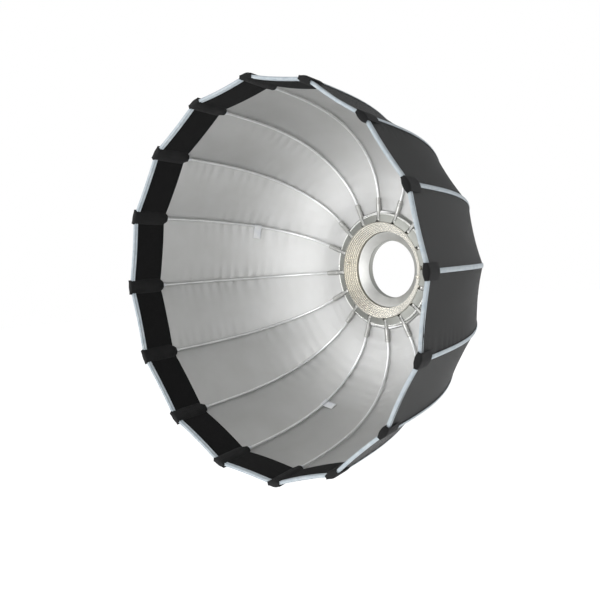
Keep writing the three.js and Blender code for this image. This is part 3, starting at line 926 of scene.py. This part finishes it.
def swept(name, section, start, end, material, steps=24):
    """An arc of a turned piece, from one angle to another, with closed ends."""
    angles = np.linspace(start, end, steps)
    points = [[(r * math.sin(a), -ahead, r * math.cos(a)) for r, ahead in section] for a in angles]
    count = len(section)
    number = np.arange(steps * count).reshape(steps, count)
    up = np.roll(number, -1, 1)
    faces = np.stack([number[:-1], up[:-1], up[1:], number[1:]], -1).reshape(-1, 4).tolist()
    faces += [number[0].tolist(), number[-1][::-1].tolist()]
    return point_outwards(make(name, points, faces, material))


mount = turned("mount_flange", chamfered([
    (THROAT_RADIUS, 0), (FLANGE_RADIUS, 0), (FLANGE_RADIUS, 4 * MM), (54 * MM, 4 * MM), (54 * MM, 10 * MM),
    (THROAT_RADIUS, 10 * MM),
], 0.5 * MM), cast_metal)
mount.data.set_sharp_from_angle(angle=math.radians(40))
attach(mount, "hub")
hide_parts("mount_ring")
claw_section = chamfered([
    (56 * MM, 0.3 * MM), (56 * MM, -8.5 * MM), (64 * MM, -8.5 * MM), (64 * MM, -6 * MM), (59.5 * MM, -6 * MM),
    (59.5 * MM, 0.3 * MM),
], 0.4 * MM)
for k in range(3):
    middle = k * 2 * math.pi / 3 + math.pi / 2  # the frame's claws start a quarter turn from the top
    first, last = middle - CLAW_ANGLE / 2, middle + CLAW_ANGLE / 2
    claw = swept("bayonet_claw_%d" % (k + 1), claw_section, first, last, cast_metal)
    claw.data.set_sharp_from_angle(angle=math.radians(40))
    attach(claw, "hub")
print("the mount ring has three claws")

# %% [markdown]
# ## Screws and the hinge wire
# Two screws hold the stepped cone and three hold the mount ring. They are turned pan heads with a six-sided
# socket. The wire keeps its frame mesh, which is already a sixteen-sided ring, and only gets its finish.
# %% Screws
def screw_mesh(name, radius, height, shank, length, material):
    """A pan head with a hexagonal socket, its axis along +Y and its underside at the origin."""
    head = turned("head", [
        (0.45 * radius, height * 0.35), (0.45 * radius, height),
        (0.7 * radius, height), (0.9 * radius, height * 0.8),
        (radius, height * 0.45), (radius, 0), (shank, 0), (shank, -length), (0.2 * MM, -length),
        (0.2 * MM, height * 0.35),
    ], material, 36)
    for vertex in head.data.vertices:
        x, z = vertex.co.x, vertex.co.z
        reach = math.hypot(x, z)
        if 0.2 * MM < reach < 0.5 * radius and -vertex.co.y > height * 0.3:
            angle = math.atan2(x, z) % (math.pi / 3) - math.pi / 6
            scale = math.cos(math.pi / 6) / math.cos(angle)
            vertex.co.x, vertex.co.z = x * scale, z * scale
    head.data.set_sharp_from_angle(angle=math.radians(40))
    return head


SCREW_HEAD_HEIGHT, SCREW_SHANK = 1.9 * MM, 1.25 * MM
SCREW_KINDS = (("reflector_screw", nickel, "steel"), ("flange_screw", dark_screw, "dark_screw"))
screws = []
for kind, finish, slot in SCREW_KINDS:
    for cad in sorted(n for n in frame["nodes"] if n.startswith(kind)):
        low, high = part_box(cad)
        centre = (low + high) / 2
        head_radius = (high.x - low.x) / 2
        length = high.y - low.y - 2 * MM
        screw = screw_mesh(kind, head_radius, SCREW_HEAD_HEIGHT, SCREW_SHANK, length, finish)
        screw.name = "%s_head_%s" % (kind, cad[-1])
        screws.append(screw)
        facing_front = kind == "reflector_screw"
        if not facing_front:
            screw.data.transform(Matrix.Rotation(math.pi, 4, "X"))
        seat = low.y + SCREW_HEAD_HEIGHT if facing_front else high.y - SCREW_HEAD_HEIGHT
        screw.data.transform(Matrix.Translation((centre.x, seat, centre.z)))
        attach(screw, "hub")
        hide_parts(cad)
frame["nodes"]["hinge_wire"].data.materials.clear()
frame["nodes"]["hinge_wire"].data.materials.append(spring_steel)
print(len(screws), "screws, and the wire is", frame["nodes"]["hinge_wire"].name)

# %% [markdown]
# ## Tabs for an inner diffuser
# Four white nylon tabs hang from every fourth rib, a little short of halfway out. Each is a short loop
# round the rod, with a flat tail that lies on the lining. A loop and a tail are one strip whose path goes
# round the rod.
# %% Diffuser tabs
TAB_RIBS = (1, 5, 9, 13)
TAB_PLACE = 178 * MM
TAB_HALF = 6.5 * MM
TAB_LOOP = 2.9 * MM


def tab_path():
    """(to the side, standoff) of the strip as it goes round the rod and out along the lining."""
    turn = np.linspace(math.pi * 0.5, -math.pi * 1.05, 22)
    loop = np.stack([TAB_LOOP * np.cos(turn), TAB_LOOP * np.sin(turn)], -1)
    tail = np.stack([np.linspace(-5, -22, 12) * MM, np.linspace(0.4, 1.2, 12) * MM], -1)
    return np.concatenate([loop, tail])


tab_line = tab_path()
normal = np.stack([-np.gradient(tab_line[:, 1]), np.gradient(tab_line[:, 0])], -1)
normal /= np.linalg.norm(normal, axis=1)[:, None]
for k, rib in enumerate(TAB_RIBS):
    layers = []
    for grow in (0.35 * MM, -0.35 * MM):
        path = tab_line + normal * grow
        s, side = np.meshgrid(TAB_PLACE + np.linspace(-TAB_HALF, TAB_HALF, 9), path[:, 0], indexing="ij")
        height = np.repeat(path[:, 1][None, :], 9, 0)
        layers.append(corner_points(rib, s, side, height, soft=6 * MM))
    tab = closed_sheet("diffuser_tab_%d" % (k + 1), layers[0], layers[1], white_nylon)
    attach(tab, name_of("rib", rib))
print("tabs on ribs", [r + 1 for r in TAB_RIBS])

# %% [markdown]
# ## Floor and light
# A plain pale floor lies well below the bowl, where the foot of a light stand would be. A wide soft lamp in
# front fills the bowl, a key lamp stands to the left above, and a narrow lamp behind and to the right draws
# one bright panel on the outer cloth. The room itself is white to look at but gives only a dim, even light,
# as a large studio does. So the shaded parts of the bowl stay dark enough to show its depth.
# %% Floor
FLOOR_DROP = 0.75
FLOOR_HALF = 20
floor_paper = new_finish(
    "floor_paper", (0.9, 0.9, 0.9), 0.85, Emission_Color=(1, 1, 1, 1), Emission_Strength=0.6,
)
floor_corners = [(x * FLOOR_HALF, y * FLOOR_HALF, 0) for x, y in ((-1, -1), (1, -1), (1, 1), (-1, 1))]
floor = make("floor", floor_corners, [(0, 1, 2, 3)], floor_paper)
floor.location.z = cad_bounds[0][2] - FLOOR_DROP

sky = bpy.data.worlds.new("sky")
sky.use_nodes = True
sky_nodes, sky_links = sky.node_tree.nodes, sky.node_tree.links
white = sky_nodes["Background"]
white.inputs["Color"].default_value = (1, 1, 1, 1)
dim = sky_nodes.new("ShaderNodeBackground")
dim.inputs["Color"].default_value = (0.97, 0.985, 1, 1)
dim.inputs["Strength"].default_value = 0.55
chosen = sky_nodes.new("ShaderNodeMixShader")
seen = sky_nodes.new("ShaderNodeLightPath")
sky_links.new(seen.outputs["Is Camera Ray"], chosen.inputs[0])
sky_links.new(dim.outputs[0], chosen.inputs[1])
sky_links.new(white.outputs[0], chosen.inputs[2])
sky_links.new(chosen.outputs[0], sky_nodes["World Output"].inputs["Surface"])
bpy.context.scene.world = sky


def area_light(name, place, target, width, height, power):
    light = bpy.data.objects.new(name, bpy.data.lights.new(name, "AREA"))
    light.data.shape, light.data.size, light.data.size_y = "RECTANGLE", width, height
    light.data.energy = power
    light.location = place
    aim = (Vector(place) - Vector(target)).to_track_quat("Z", "Y")
    light.rotation_euler = aim.to_euler()
    bpy.context.scene.collection.objects.link(light)
    return light


area_light("key", (-1.7, -2.2, 1.5), (0, -0.15, 0), 1.2, 1.2, 22)
area_light("front", (0.5, -3.0, 0.2), (0, -0.1, 0), 2.2, 1.6, 38)
area_light("behind_right", (0.75, 2.4, 0.42), (0.2, -0.2, 0), 1.0, 0.35, 10)
print("three lights and a floor", FLOOR_DROP, "m below the bowl")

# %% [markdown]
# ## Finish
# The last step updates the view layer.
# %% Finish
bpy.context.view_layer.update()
